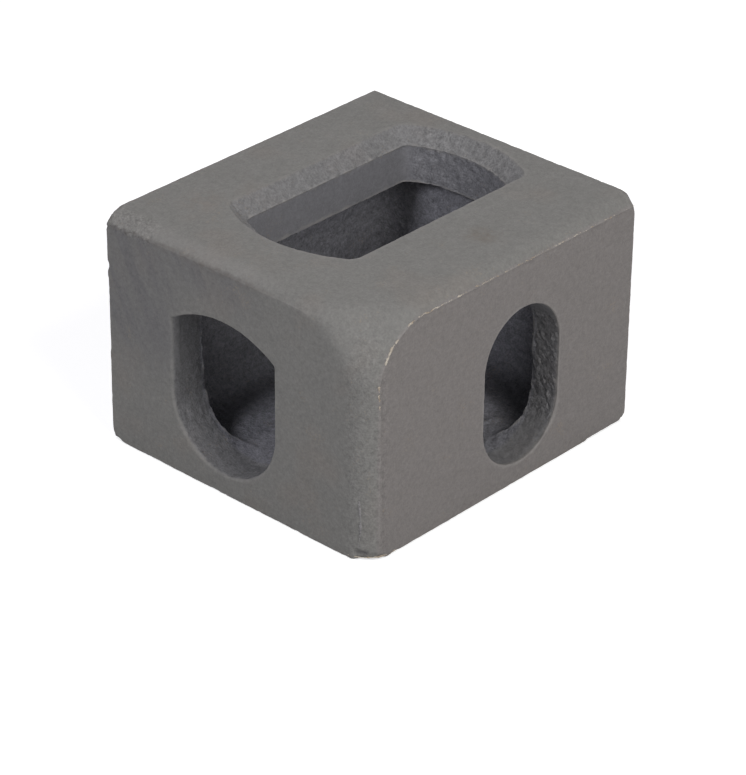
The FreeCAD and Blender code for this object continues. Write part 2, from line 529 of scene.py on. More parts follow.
    def streak_mask(self, bench: Bench, coords: Socket) -> Socket:
        """Where the end face is darker: slanting streaks over an even darkening of its upper far part and of
        the band under its top edge.

        Args:
            bench: The material's nodes.
            coords: Places on the casting.

        Returns:
            The mask's output.
        """
        turned = bench.add("ShaderNodeVectorRotate", {"Vector": coords, "Angle": self.streak_lean},
                           rotation_type="X_AXIS").outputs[0]
        drawn_out = bench.vector("MULTIPLY", turned, (1.0, 1.0, self.streak_stretch)).outputs[0]
        pattern = bench.noise(drawn_out, self.streak_size, 12.0, 2.0)
        cover = bench.span(pattern, 0.42, 0.62, self.streak_low, self.streak_high)
        return bench.times(cover, bench.value_of(Mask.STREAKED))

    def with_tone(self, bench: Bench, base: Socket, mottle: Socket, grain: Socket, worn: Socket) -> Socket:
        """Lighten and darken a colour with the mottle and the grain.

        Args:
            bench: The material's nodes.
            base: The colour.
            mottle: Wide soft variation, 0 to 1.
            grain: Fine variation about 0.
            worn: Where the grain is stronger.

        Returns:
            The colour's output.
        """
        wide = bench.times(bench.math("SUBTRACT", mottle, 0.5), self.mottle_tone)
        strength = bench.span(worn, 0.0, 1.0, self.grain_tone, self.grain_tone * self.worn_tone)
        fine = bench.times(grain, strength)
        return bench.scale(base, bench.total(wide, fine, 1.0))


@dataclass(frozen=True)
class FlashSkin:
    """Bare, faintly rusted metal of the flash that grinding left standing."""

    name: str = "flash_skin"
    bare: Colour = colour(182, 174, 161)
    rust: Colour = colour(150, 136, 118)
    roughness: float = 0.6
    specular: float = 0.3
    grain_size: float = 0.7 * MM
    grain_depth: float = 0.1 * MM
    patch_size: float = 5 * MM

    def build(self, effects: SharedEffects) -> bpy.types.Material:
        """Make the material.

        Args:
            effects: The shared shader groups.

        Returns:
            The material.
        """
        material, bench = new_material(self.name)
        coords = bench.add("ShaderNodeTexCoord").outputs["Object"]
        grain = bench.add("ShaderNodeGroup", {"Vector": coords, "Size": self.grain_size, "Seed": 9.0},
                          node_tree=effects.grain).outputs
        patch = bench.noise(coords, self.patch_size, 8.0, 2.0)
        base = bench.blend(bench.span(patch, 0.4, 0.65), self.bare, self.rust)
        bench.close(base, self.roughness, self.specular, grain["Height"], self.grain_depth)
        return material


# The casting

@dataclass(frozen=True)
class ApertureSizes:
    """Sizes of the three apertures and the walls that they go through."""

    top_diameter: float = 124 * MM
    top_flats: float = 63.5 * MM
    bevel_depth: float = 7.3 * MM
    bevel_spread: float = 7.8 * MM
    top_wall: float = 26.5 * MM
    side_width: float = 51 * MM
    side_wall: float = 16 * MM
    end_width: float = 63.5 * MM
    end_wall: float = 20 * MM
    hole_foot: float = 10.5 * MM
    hole_height: float = 79.5 * MM
    rim: float = 1.6 * MM


@dataclass(frozen=True)
class Dent:
    """A chip or groove, from one place to another; a dark one is also painted darker by its depth, as painted
    shade in it.
    """

    start: Place
    end: Place
    radius: float
    depth: float
    dark: bool = True


@dataclass(frozen=True)
class Layer:
    """One layer of relief: how deep it goes and how far apart its peaks are."""

    depth: float
    size: float


@dataclass(frozen=True)
class SkinRelief:
    """The relief that sand, core and chipping leave on the casting."""

    wave: Layer = Layer(0.12 * MM, 28 * MM)
    skin: Layer = Layer(0.12 * MM, 3.4 * MM)
    core: Layer = Layer(2.2 * MM, 3.6 * MM)
    nibble: Layer = Layer(0.45 * MM, 2.8 * MM)
    ripple: Layer = Layer(1.9 * MM, 1.2 * MM)
    coarse: Layer = Layer(0.28 * MM, 1.8 * MM)
    ripple_stretch: float = 0.34
    ripple_lean: float = math.radians(38)
    seed: float = 11.0

    def tree(self) -> bpy.types.NodeTree:
        """Geometry tree that sinks each point of the skin by what its masks ask for.

        Returns:
            The geometry tree.
        """
        inputs = {"Geometry": "NodeSocketGeometry"}
        inputs.update({name: "NodeSocketFloat" for name in self.sizes()})
        inputs["Material"] = "NodeSocketMaterial"
        tree = new_tree("cast relief", "GeometryNodeTree", inputs, {"Geometry": "NodeSocketGeometry"})
        bench = Bench(tree)
        given = bench.add("NodeGroupInput").outputs
        place = bench.add("GeometryNodeInputPosition").outputs[0]
        turned = bench.add("ShaderNodeVectorRotate", {"Vector": place, "Angle": given["Ripple lean"]},
                           rotation_type="X_AXIS").outputs[0]
        squeeze = bench.add("ShaderNodeCombineXYZ", {0: 1.0, 1: 1.0, 2: given["Ripple stretch"]}).outputs[0]
        drawn_out = bench.vector("MULTIPLY", turned, squeeze).outputs[0]
        bend = bench.span(bench.value_of(Mask.BEND), 0.1, 0.26)
        sunk = bench.total(
            self.layer(bench, given, place, "Wave", 0.35, 0.7),
            self.layer(bench, given, place, "Skin", 0.35, 0.7),
            bench.times(self.lumps(bench, given, place, "Core"), bench.value_of(Mask.CORE)),
            bench.times(self.lumps(bench, given, drawn_out, "Ripple"), bench.value_of(Mask.RIPPLE)),
            bench.times(self.layer(bench, given, place, "Coarse", 0.35, 0.65),
                       bench.value_of(Mask.COARSE)),
            bench.times(self.layer(bench, given, place, "Nibble", 0.48, 0.75), bend),
            bench.value_of(Mask.DENT))
        normal = bench.add("GeometryNodeInputNormal").outputs[0]
        down = bench.scale(normal, bench.times(sunk, -1.0))
        moved = bench.add("GeometryNodeSetPosition", {
            "Geometry": given["Geometry"], "Offset": down}).outputs[0]
        real = bench.add("GeometryNodeRealizeInstances", {"Geometry": moved}).outputs[0]
        dressed = bench.add("GeometryNodeSetMaterial", {"Geometry": real, "Material": given["Material"]})
        bench.add("NodeGroupOutput", {"Geometry": dressed.outputs[0]})
        return tree

    def layer(self, bench: Bench, given: object, place: Socket, name: str, low: float, high: float) -> Socket:
        """One layer that only sinks the skin, where its pattern rises from low to high."""
        pattern = bench.noise(place, given[name + " size"], given[name + " seed"], 2.0)
        return bench.times(bench.span(pattern, low, high), given[name + " depth"])

    def lumps(self, bench: Bench, given: object, place: Socket, name: str) -> Socket:
        """One layer that sinks and raises the skin about its true place."""
        pattern = bench.noise(place, given[name + " size"], given[name + " seed"], 1.5)
        return bench.times(bench.math("SUBTRACT", pattern, 0.5), given[name + " depth"])

    def sizes(self) -> dict[str, float]:
        """Value of each number that the tree takes, by the name of its input.

        Returns:
            The values.
        """
        values = {"Ripple stretch": self.ripple_stretch, "Ripple lean": self.ripple_lean}
        layers = [field.name for field in fields(self) if field.type is Layer]
        for step, name in enumerate(layers, 1):
            layer, label = getattr(self, name), name.capitalize()
            values[label + " depth"] = layer.depth
            values[label + " size"] = layer.size
            values[label + " seed"] = self.seed + step
        return values


@dataclass(frozen=True)
class MaskShares:
    """How strongly each part of the casting carries its masks, 0 to 1."""

    bevel_core: float = 0.62
    arc_core: float = 0.85
    end_core: float = 0.12
    end_foot_core: float = 0.5
    side_core: float = 0.35
    hollow_core: float = 0.9
    end_ripple: float = 0.45
    reveal_shade_tint: float = 0.5
    mouth_shade_tint: float = 0.35
    throat_shade_tint: float = 0.45
    upright_coarse: float = 0.42
    edge_coarse: float = 0.12
    far_rim_shade: float = 0.6
    crease_shade: float = 0.5
    edge_streaks: float = 0.85


@dataclass
class Casting:
    """The casting itself, with its relief and its finish."""

    low: Vector
    high: Vector
    hole_x: float
    hole_y: float
    sizes: ApertureSizes = ApertureSizes()
    relief: SkinRelief = SkinRelief()
    shares: MaskShares = MaskShares()
    cell_depth: int = 8
    most_triangles: int = 190000
    step_depth: float = 0.7 * MM
    step_place: float = 5.8 * MM
    step_foot: float = 40 * MM
    step_full: float = 58 * MM
    dents: tuple[Dent, ...] = (
        Dent(at(-88.0, -73.2, 4.4), at(-85.9, -76.8, 4.2), 2.4 * MM, 0.8 * MM),
        Dent(at(-72.5, -81, 0.4), at(-69.5, -81, 0.4), 1.5 * MM, 0.35 * MM),
        Dent(at(-89, 81, 91.5), at(-89, 81, 90.5), 2.6 * MM, 0.7 * MM),
        Dent(at(-89, 81, 84), at(-89, 81, 48), 2.2 * MM, 0.35 * MM),
        Dent(at(-89, 81, 110.6), at(-89, 79.5, 110.8), 1.4 * MM, 0.55 * MM),
        Dent(at(-89, 66, 112.2), at(-89, 64, 112.2), 1.2 * MM, 0.9 * MM),
        Dent(at(-87.5, 54.5, 114.4), at(-87.5, 53.5, 114.4), 1.3 * MM, 0.8 * MM),
        Dent(at(-42.8, 46.6, 117.4), at(-42.6, 40.4, 112.8), 1.2 * MM, 0.55 * MM),
        Dent(at(-86.6, -76.0, 0), at(-81.6, -79.8, 0), 5.6 * MM, 1.8 * MM, False),
        Dent(at(89, -81, 0), at(62, -81, 0), 2.6 * MM, 0.55 * MM, False),
        Dent(at(89, -81, 113), at(89, -79, 115), 4.5 * MM, 0.8 * MM, False),
        Dent(at(89, -81, 0), at(88, -81, 0), 4.0 * MM, 1.6 * MM, False),
        Dent(at(-89, 81, 0), at(-89, 79, 0), 6.0 * MM, 1.2 * MM, False),
    )
    groove_depth: float = 0.45 * MM
    groove_reach: float = 1.0 * MM
    facet_bend: float = 0.115
    facet_rounds: int = 30
    coarse_until: float = 47 * MM
    border_top: float = 100 * MM
    border_end: float = -60 * MM
    border_foot: float = 2 * MM
    rim_reach: float = 9 * MM
    weld_reach: float = 0.002 * MM
    sharp_angle: float = math.radians(27)

    def top_mouth(self, points: np.ndarray) -> np.ndarray:
        """Mask of the walls of the top aperture, bevel included.

        Args:
            points: Places on the skin.

        Returns:
            The mask.
        """
        sizes = self.sizes
        x, y, z = (points - (self.hole_x, self.hole_y, 0)).T
        grown = sizes.bevel_spread + 0.3 * MM
        within = (np.hypot(x, y) < sizes.top_diameter / 2 + grown) & (np.abs(y) < sizes.top_flats / 2 + grown)
        ceiling = self.high.z - sizes.top_wall
        return within * rise(z, ceiling - 1.5 * MM, ceiling) * rise(z, self.high.z, self.high.z - 0.8 * MM)

    def reveal(self, into: np.ndarray, across: np.ndarray, z: np.ndarray, wall: float, width: float,
               start: float, full: float) -> np.ndarray:
        """Mask of the walls of the side or the end aperture.

        Args:
            into: How far behind its face each place lies.
            across: How far beside its middle.
            z: How high.
            wall: The wall that it goes through.
            width: Its width.
            start: How far behind the face the mask starts.
            full: How far behind the face it is full.

        Returns:
            The mask.
        """
        sizes = self.sizes
        deep = rise(into, start, full) * rise(into, wall + 4 * MM, wall + 1 * MM)
        top = sizes.hole_foot + sizes.hole_height
        within = (np.abs(across) < width / 2 + sizes.rim) & (z < top + sizes.rim)
        return deep * within * (z > sizes.hole_foot - sizes.rim)

    def side_reveal(self, points: np.ndarray) -> np.ndarray:
        """Mask of the walls of the side aperture."""
        x, y, z = (points - (self.hole_x, self.low.y, 0)).T
        return self.reveal(y, x, z, self.sizes.side_wall, self.sizes.side_width, 0.5 * MM, 2.4 * MM)

    def end_reveal(self, points: np.ndarray) -> np.ndarray:
        """Mask of the walls of the end aperture."""
        x, y, z = (points - (self.low.x, self.hole_y, 0)).T
        return self.reveal(x, y, z, self.sizes.end_wall, self.sizes.end_width, 0.2 * MM, 1.8 * MM)

    def inside(self, points: np.ndarray) -> np.ndarray:
        """Mask of the walls of the hollow.

        Args:
            points: Places on the skin.

        Returns:
            The mask.
        """
        sizes = self.sizes
        x, y, z = points.T
        from_end = rise(x, self.low.x + sizes.end_wall - 5 * MM, self.low.x + sizes.end_wall)
        from_side = rise(y, self.low.y + sizes.side_wall - 5 * MM, self.low.y + sizes.side_wall)
        from_rails = (x < self.high.x - 5 * MM) & (y < self.high.y - 5 * MM) & (z > 5 * MM)
        ceiling = self.high.z - sizes.top_wall
        return from_end * from_side * from_rails * rise(z, ceiling + 4 * MM, ceiling)

    def groove(self, points: np.ndarray) -> np.ndarray:
        """How deep the thin groove under the flash of the side face is; its depth also darkens the colour
        there, as painted shade under the flash.

        Args:
            points: Places on the skin.

        Returns:
            The depths.
        """
        path = self.crease(0.0, -0.9 * MM)
        tree = KDTree(len(path))
        for index, place in enumerate(path):
            tree.insert(place, index)
        tree.balance()
        depth = np.zeros(len(points))
        x, y, z = points.T
        close = (y < self.low.y + 1.5 * MM) & ((z > self.border_top) | (x < self.border_end))
        for index in np.nonzero(close)[0]:
            spot = Vector(points[index])
            nearest, number, _ = tree.find(spot)
            ends = [path[max(number - 1, 0)], path[min(number + 1, len(path) - 1)]]
            apart = min((intersect_point_line(spot, nearest, end)[0] - spot).length
                        for end in ends if (end - nearest).length > 1e-6)
            depth[index] = self.groove_depth * max(0.0, 1 - apart / self.groove_reach)
        return depth

    def dent_depth(self, points: np.ndarray, all_of_them: bool) -> np.ndarray:
        """How deep the chips, the grooves and the step in the end aperture are at each place.

        Args:
            points: Places on the skin.
            all_of_them: Whether the chips that aren't darker than the skin count too.

        Returns:
            The depths.
        """
        depth = self.groove(points)
        for dent in self.dents:
            if not (all_of_them or dent.dark):
                continue
            start = np.array(dent.start)
            along = np.array(dent.end) - start
            share = np.clip((points - start) @ along / (along @ along), 0.0, 1.0)
            apart = np.linalg.norm(points - start - share[:, None] * along, axis=1)
            depth = np.maximum(depth, dent.depth * rise(apart, dent.radius, 0.0))
        x, y, z = points.T
        past_step = rise(x - self.low.x, self.step_place - 0.8 * MM, self.step_place + 0.8 * MM)
        left = self.hole_y + self.sizes.end_width / 2
        on_left = rise(y, left - 4 * MM, left - 1 * MM)
        step = self.end_reveal(points) * past_step * on_left * rise(z, self.step_foot, self.step_full)
        return depth + step * self.step_depth * all_of_them

    def end_edge(self, points: np.ndarray, back: float, full: float, under: float, top: float) -> np.ndarray:
        """Mask of a band along the edge of the top and the end face.

        Args:
            points: Places on the skin.
            back: How far behind the end face it starts, in millimetres.
            full: How far behind the end face it is full.
            under: How far below the top it starts, in millimetres.
            top: How far below the top it is full.

        Returns:
            The mask.
        """
        x, _, z = points.T
        return (rise(x, self.low.x + back * MM, self.low.x + full * MM)
                * rise(z, self.high.z - under * MM, self.high.z - top * MM))

    def coarse(self, points: np.ndarray) -> np.ndarray:
        """Mask of the coarse skin: the rail end of the top and end edge, less so along the edge.

        Args:
            points: Places on the skin.

        Returns:
            The mask.
        """
        x, y, _ = points.T
        past_hole = rise(y, self.coarse_until, self.coarse_until + 12 * MM)
        on_upright = (rise(y, self.low.y + 18 * MM, self.low.y + 11 * MM)
                      * rise(x, self.low.x + 16 * MM, self.low.x + 9 * MM))
        return np.maximum.reduce([
            self.end_edge(points, 11, 7, 9, 6) * past_hole,
            on_upright * self.shares.upright_coarse,
            self.end_edge(points, 9, 4, 8, 5) * self.shares.edge_coarse])

    def bend(self, mesh: bpy.types.Mesh, rounds: int) -> np.ndarray:
        """How sharply the skin bends outwards at each point; below zero where it bends inwards.

        Args:
            mesh: The skin.
            rounds: How many times the values are evened out with their neighbours'.

        Returns:
            The bend at each point.
        """
        points = mesh_points(mesh)
        flat = np.empty(len(mesh.vertices) * 3, np.float32)
        mesh.vertex_normals.foreach_get("vector", flat)
        normals = flat.reshape(-1, 3)
        first, second = edge_ends(mesh)
        many = len(points)
        count = np.bincount(first, minlength=many) + np.bincount(second, minlength=many)
        step = points[second] - points[first]
        step /= np.maximum(np.linalg.norm(step, axis=1), 1e-9)[:, None]
        rise_first = (step * normals[first]).sum(1)
        rise_second = -(step * normals[second]).sum(1)
        total = np.bincount(first, rise_first, many) + np.bincount(second, rise_second, many)
        bend = -total / np.maximum(count, 1)
        for _ in range(rounds):
            bend = (bend + neighbour_total(bend, first, second) / np.maximum(count, 1)) / 2
        return bend

    def soften_facets(self, mesh: bpy.types.Mesh) -> None:
        """Even out the flat facets of the roundings, and leave the true edges as they are.

        Args:
            mesh: The skin.
        """
        first, second = edge_ends(mesh)
        sharpest = np.abs(self.bend(mesh, 0))
        for _ in range(2):
            spread = sharpest.copy()
            np.maximum.at(spread, first, sharpest[second])
            np.maximum.at(spread, second, sharpest[first])
            sharpest = spread
        pull = 0.5 * rise(sharpest, self.facet_bend, self.facet_bend * 0.8)
        points = mesh_points(mesh)
        count = np.maximum(neighbour_total(np.ones(len(points)), first, second), 1)
        for _ in range(self.facet_rounds):
            for axis in range(3):
                line = points[:, axis]
                points[:, axis] = line + pull * (neighbour_total(line, first, second) / count - line)
        mesh.vertices.foreach_set("co", points.astype(np.float32).ravel())
        mesh.update()

    def streaked(self, points: np.ndarray) -> np.ndarray:
        """Mask of the part of the end face that is darker, with slanting streaks: its upper far part and the
        band under its top edge.

        Args:
            points: Places on the skin.

        Returns:
            The mask.
        """
        x, y, z = points.T
        on_face = rise(x, self.low.x + 1.0 * MM, self.low.x + 0.4 * MM)
        far_part = rise(y, 20 * MM, 50 * MM) * rise(z, 30 * MM, 70 * MM)
        under_edge = rise(y, -25 * MM, 10 * MM) * rise(z, 88 * MM, 106 * MM)
        return on_face * np.maximum(far_part, self.shares.edge_streaks * under_edge)

    def polished(self, points: np.ndarray) -> np.ndarray:
        """Mask of the rounding between the top and the end face, painted paler: a painted highlight for the
        light from above on it, partly handling wear.

        Args:
            points: Places on the skin.

        Returns:
            The mask.
        """
        x, y, _ = points.T
        over_crease = rise(x, self.low.x + 0.3 * MM, self.low.x + 0.8 * MM)
        return over_crease * self.end_edge(points, 11, 5, 9, 5) * rise(y, -35 * MM, 0)

    def border(self, points: np.ndarray, bend: np.ndarray) -> np.ndarray:
        """Mask of painted shade along the base and rail edges, the far rim of the mouth and the crease of the
        end face.

        Args:
            points: Places on the skin.
            bend: How sharply it bends there.

        Returns:
            The mask.
        """
        x, y, z = points.T
        sizes, shares = self.sizes, self.shares
        # Painted shade on the edges in the lee: the base, the far end rail and the far side rail.
        lee = np.maximum.reduce([rise(z, 3 * MM, 1.5 * MM),
                                 rise(x, self.high.x - 3 * MM, self.high.x - 1.5 * MM),
                                 rise(y, self.high.y - 3 * MM, self.high.y - 1.5 * MM)])
        in_mouth = np.hypot(x - self.hole_x, y - self.hole_y) < sizes.top_diameter / 2 + self.rim_reach
        between_flats = np.abs(y - self.hole_y) < sizes.top_flats / 2 + self.rim_reach
        far_rim_shade = rise(z, self.high.z - 1.6 * MM, self.high.z - 0.8 * MM) * rise(y, 0, 12 * MM)
        lee = np.maximum(lee, shares.far_rim_shade * far_rim_shade * in_mouth * between_flats)
        on_crease = (np.abs(x - self.low.x) < 1.0 * MM) * rise(z, 110 * MM, 111 * MM) * rise(y, -40 * MM, 0)
        crease = shares.crease_shade * on_crease * rise(bend, 0.025, 0.06)
        return np.maximum(lee * rise(bend, 0.06, 0.16), crease)

    def mark(self, mesh: bpy.types.Mesh, for_relief: bool) -> None:
        """Write the masks on the skin.

        Args:
            mesh: The skin.
            for_relief: Whether the masks are for the relief, or else for the colours.
        """
        points = mesh_points(mesh)
        bend = self.bend(mesh, 2)
        x, y, z = points.T
        sizes, shares = self.sizes, self.shares
        mouth, side, end = self.top_mouth(points), self.side_reveal(points), self.end_reveal(points)
        hollow = self.inside(points) * (1 - mouth)
        across = np.abs(y - self.hole_y)
        bevel = rise(z, self.high.z - sizes.bevel_depth - 0.6 * MM, self.high.z - sizes.bevel_depth)
        round_end = rise(across, sizes.top_flats / 2, sizes.top_flats / 2 - 5 * MM)
        low_down = rise(z, 62 * MM, 48 * MM)
        hole_top = sizes.hole_foot + sizes.hole_height
        below_smooth = rise(z, hole_top - 11 * MM, hole_top - 15 * MM)
        above_foot = rise(z, 14 * MM, 30 * MM)
        past_step = rise(x - self.low.x, self.step_place, self.step_place + 2 * MM)
        core = np.maximum.reduce([
            mouth * np.maximum(bevel * shares.bevel_core, round_end * shares.arc_core),
            end * (shares.end_core + shares.end_foot_core * low_down),
            side * shares.side_core,
            hollow * shares.hollow_core])
        ripple = np.maximum(side * below_smooth * (0.35 + 0.65 * above_foot),
                            end * (0.25 + 0.75 * past_step) * shares.end_ripple)
        # Cool tint share: painted cool shade in the hollow, the reveals and the mouth, partly the as-cast
        # scale.
        cool_shade = np.maximum.reduce([
            hollow, np.maximum(side, end) * shares.reveal_shade_tint,
            mouth * (shares.mouth_shade_tint + shares.throat_shade_tint * (1 - bevel))])
        values = {
            Mask.CORE: np.clip(core, 0, 1),
            Mask.RIPPLE: ripple,
            Mask.INSIDE: np.clip(cool_shade, 0, 1),
            Mask.BEND: bend,
            Mask.BORDER: self.border(points, bend),
            Mask.DENT: self.dent_depth(points, for_relief),
            Mask.GROUND: rise(y, self.low.y + 1.0 * MM, self.low.y + 0.5 * MM),
            Mask.COARSE: self.coarse(points),
            Mask.STREAKED: self.streaked(points),
            Mask.POLISHED: self.polished(points),
        }
        for mask, numbers in values.items():
            held = mesh.attributes.get(mask.value) or mesh.attributes.new(mask.value, "FLOAT", "POINT")
            held.data.foreach_set("value", numbers.astype(np.float32))

    def even_cells(self) -> bpy.types.Mesh:
        """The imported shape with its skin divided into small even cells.

        Returns:
            The mesh.
        """
        blank = frame["nodes"][NODE].data.copy()
        joined = bmesh.new()
        joined.from_mesh(blank)
        bmesh.ops.remove_doubles(joined, verts=joined.verts, dist=self.weld_reach)
        joined.to_mesh(blank)
        joined.free()
        blank.materials.clear()
        piece = place_object("blank", blank)
        cells = piece.modifiers.new("even cells", "REMESH")
        cells.mode = "SHARP"
        cells.octree_depth = self.cell_depth
        cells.scale = 0.99
        cells.sharpness = 1.0
        cells.use_remove_disconnected = False
        return solid_copy(piece, "even_cells")

    def build(self, material: bpy.types.Material) -> bpy.types.Object:
        """Make the casting's skin and put it in place of the plain solid.

        Args:
            material: Its finish.

        Returns:
            The finished piece.
        """
        cells = self.even_cells()
        log.info("even cells: %d faces", len(cells.polygons))
        self.soften_facets(cells)
        self.mark(cells, True)
        triangles = sum(len(face.vertices) - 2 for face in cells.polygons)
        piece = place_object("rough", cells)
        apply_tree(piece, self.relief.tree(), {**self.relief.sizes(), "Material": material})
        if triangles > self.most_triangles:
            thin = piece.modifiers.new("fewer faces", "DECIMATE")
            thin.ratio = self.most_triangles / triangles
        mesh = solid_copy(piece, "corner_casting_skin")
        self.mark(mesh, False)
        mesh.shade_smooth()
        mesh.set_sharp_from_angle(angle=self.sharp_angle)
        skin = place_object("corner_casting_skin", mesh)
        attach(skin, BODY)
        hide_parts(NODE)
        log.info("corner_casting_skin: %d faces", len(mesh.polygons))
        return skin

    def crease(self, inwards: float, outwards: float) -> list[Vector]:
        """Border of the ground side face, from its rail end over the top and down the upright.

        Args:
            inwards: How far the places lie behind the side face.
            outwards: How far they lie outside its border.

        Returns:
            Places along the border, in order.
        """
        points = np.unique(np.round(mesh_points(frame["nodes"][NODE].data), 6), axis=0)
        x, y, z = points.T
        on_face = np.abs(y - self.low.y) < 0.01 * MM
        upper = z > self.border_top
        upright = (x < self.border_end) & (z > self.border_foot)
        chosen = points[on_face & (upper | upright)]
        turn = np.arctan2(chosen[:, 2] - 50 * MM, chosen[:, 0] - self.hole_x)
        turn = np.where(turn < -math.pi / 2, turn + 2 * math.pi, turn)
        path = chosen[np.argsort(turn)]
        along = np.gradient(path, axis=0)
        away = np.stack([along[:, 2], np.zeros(len(path)), -along[:, 0]], axis=1)
        away /= np.linalg.norm(away, axis=1)[:, None]
        return [Vector(point) for point in path + away * outwards + (0, inwards, 0)]


# Flash lines

@dataclass(frozen=True)
class Seam:
    """A thin broken line of flash: small beads that follow a path."""

    name: str
    bead: float
    strong_place: Place
    strong_reach: float
    gaps: float = 0.45
    faint: float = 0.35
    spacing: float = 0.45 * MM
    stretch: float = 1.7
    stray: float = 0.0
    seed: float = 1.0
    gap_size: float = 6 * MM
    lump_size: float = 2 * MM
    wander_scale: float = 280.0

    @staticmethod
    def tree() -> bpy.types.NodeTree:
        """Geometry tree that sets beads along a path, largest near its strong place.

        Returns:
            The geometry tree.
        """
        numbers = ("Spacing", "Bead", "Stretch", "Gaps", "Faint", "Strong reach", "Stray", "Seed",
                   "Gap size", "Lump size", "Wander scale")
        inputs = {"Geometry": "NodeSocketGeometry", **dict.fromkeys(numbers, "NodeSocketFloat"),
                  "Strong place": "NodeSocketVector", "Material": "NodeSocketMaterial"}
        tree = new_tree("flash seam", "GeometryNodeTree", inputs, {"Geometry": "NodeSocketGeometry"})
        bench = Bench(tree)
        given = bench.add("NodeGroupInput").outputs
        spaced = bench.add("GeometryNodeCurveToPoints", {
            "Curve": given["Geometry"], "Length": given["Spacing"]}, mode="LENGTH")
        place = bench.add("GeometryNodeInputPosition").outputs[0]
        broken = bench.noise(place, given["Gap size"], given["Seed"], 3.0)
        lumps = bench.noise(place, given["Lump size"], given["Seed"], 2.0)
        is_gap = bench.add("FunctionNodeCompare", {0: broken, 1: given["Gaps"]},
                           data_type="FLOAT", operation="LESS_THAN").outputs[0]
        kept = bench.add("GeometryNodeDeleteGeometry", {"Geometry": spaced.outputs["Points"],
                                                        "Selection": is_gap}).outputs[0]
        anywhere = bench.add("FunctionNodeRandomValue", {0: (-1.0, -1.0, -1.0), 1: (1.0, 1.0, 1.0)},
                             data_type="FLOAT_VECTOR").outputs[0]
        wander = bench.scale(anywhere, given["Stray"])
        slow = bench.add("ShaderNodeTexNoise", {"Vector": place, "Scale": given["Wander scale"],
                                                "Detail": 1.0}).outputs["Color"]
        aside = bench.scale(bench.vector("SUBTRACT", slow, (0.5, 0.5, 0.5)).outputs[0],
                            bench.times(given["Stray"], 6.0))
        wander = bench.vector("ADD", wander, aside).outputs[0]
        kept = bench.add("GeometryNodeSetPosition", {"Geometry": kept, "Offset": wander}).outputs[0]
        apart = bench.vector("DISTANCE", place, given["Strong place"]).outputs["Value"]
        reach = bench.math("DIVIDE", apart, given["Strong reach"], clamp=True)
        fade = bench.times(reach, bench.math("SUBTRACT", 1.0, given["Faint"]))
        strength = bench.math("SUBTRACT", 1.0, fade)
        size = bench.times(given["Bead"], bench.span(lumps, 0.4, 0.7, 0.4, 1.5))
        size = bench.times(size, strength)
        length = bench.times(size, given["Stretch"])
        scale = bench.add("ShaderNodeCombineXYZ", {0: size, 1: size, 2: length}).outputs[0]
        along = bench.add("FunctionNodeAlignRotationToVector", {"Vector": spaced.outputs["Tangent"]},
                          axis="Z").outputs[0]
        ball = bench.add("GeometryNodeMeshIcoSphere", {"Radius": 1.0, "Subdivisions": 1}).outputs[0]
        beads = bench.add("GeometryNodeInstanceOnPoints", {
            "Points": kept, "Instance": ball, "Rotation": along, "Scale": scale}).outputs[0]
        real = bench.add("GeometryNodeRealizeInstances", {"Geometry": beads}).outputs[0]
        smooth = bench.add("GeometryNodeSetShadeSmooth", {"Geometry": real}).outputs[0]
        dressed = bench.add("GeometryNodeSetMaterial", {"Geometry": smooth, "Material": given["Material"]})
        bench.add("NodeGroupOutput", {"Geometry": dressed.outputs[0]})
        return tree

    def build(self, tree: bpy.types.NodeTree, path: list[Vector],
              material: bpy.types.Material) -> bpy.types.Object:
        """Lay the seam along a path.

        Args:
            tree: The geometry tree of a seam.
            path: Places along it, in order.
            material: Its finish.

        Returns:
            The finished piece.
        """
        curve = bpy.data.curves.new(self.name + "_path", "CURVE")
        curve.dimensions = "3D"
        spline = curve.splines.new("POLY")
        spline.points.add(len(path) - 1)
        for point, place in zip(spline.points, path):
            point.co = (*place, 1.0)
        line = place_object(self.name + "_path", curve)
        given = {field.name.capitalize().replace("_", " "): getattr(self, field.name)
                 for field in fields(self)}
        apply_tree(line, tree, {**given, "Material": material})
        mesh = solid_copy(line, self.name)
        low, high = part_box(NODE)
        # Grinding took off all that stood proud of the faces.
        flush = np.clip(mesh_points(mesh), np.array(low), np.array(high))
        mesh.vertices.foreach_set("co", flush.astype(np.float32).ravel())
        mesh.update()
        piece = place_object(self.name, mesh)
        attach(piece, BODY)
        log.info("%s: %d faces", self.name, len(piece.data.polygons))
        return piece


# The studio

@dataclass(frozen=True)
class Lamp:
    """A soft square lamp. Its level is the share of full plain light that it gives."""

    name: str
    towards: Place
    distance: float
    size: float
    level: float
    tint: tuple[float, float, float] = (1.0, 1.0, 1.0)

    def build(self, aim: Vector) -> None:
        """Hang the lamp and turn it to what it lights.

        Args:
            aim: The place that it lights.
        """
        data = bpy.data.lights.new(self.name, "AREA")
        data.size = self.size
        data.energy = self.level * (math.pi * self.distance) ** 2
        data.color = self.tint
        lamp = place_object(self.name, data)
        direction = Vector(self.towards).normalized()
        lamp.location = aim + direction * self.distance
        lamp.rotation_euler = direction.to_track_quat("Z", "Y").to_euler()


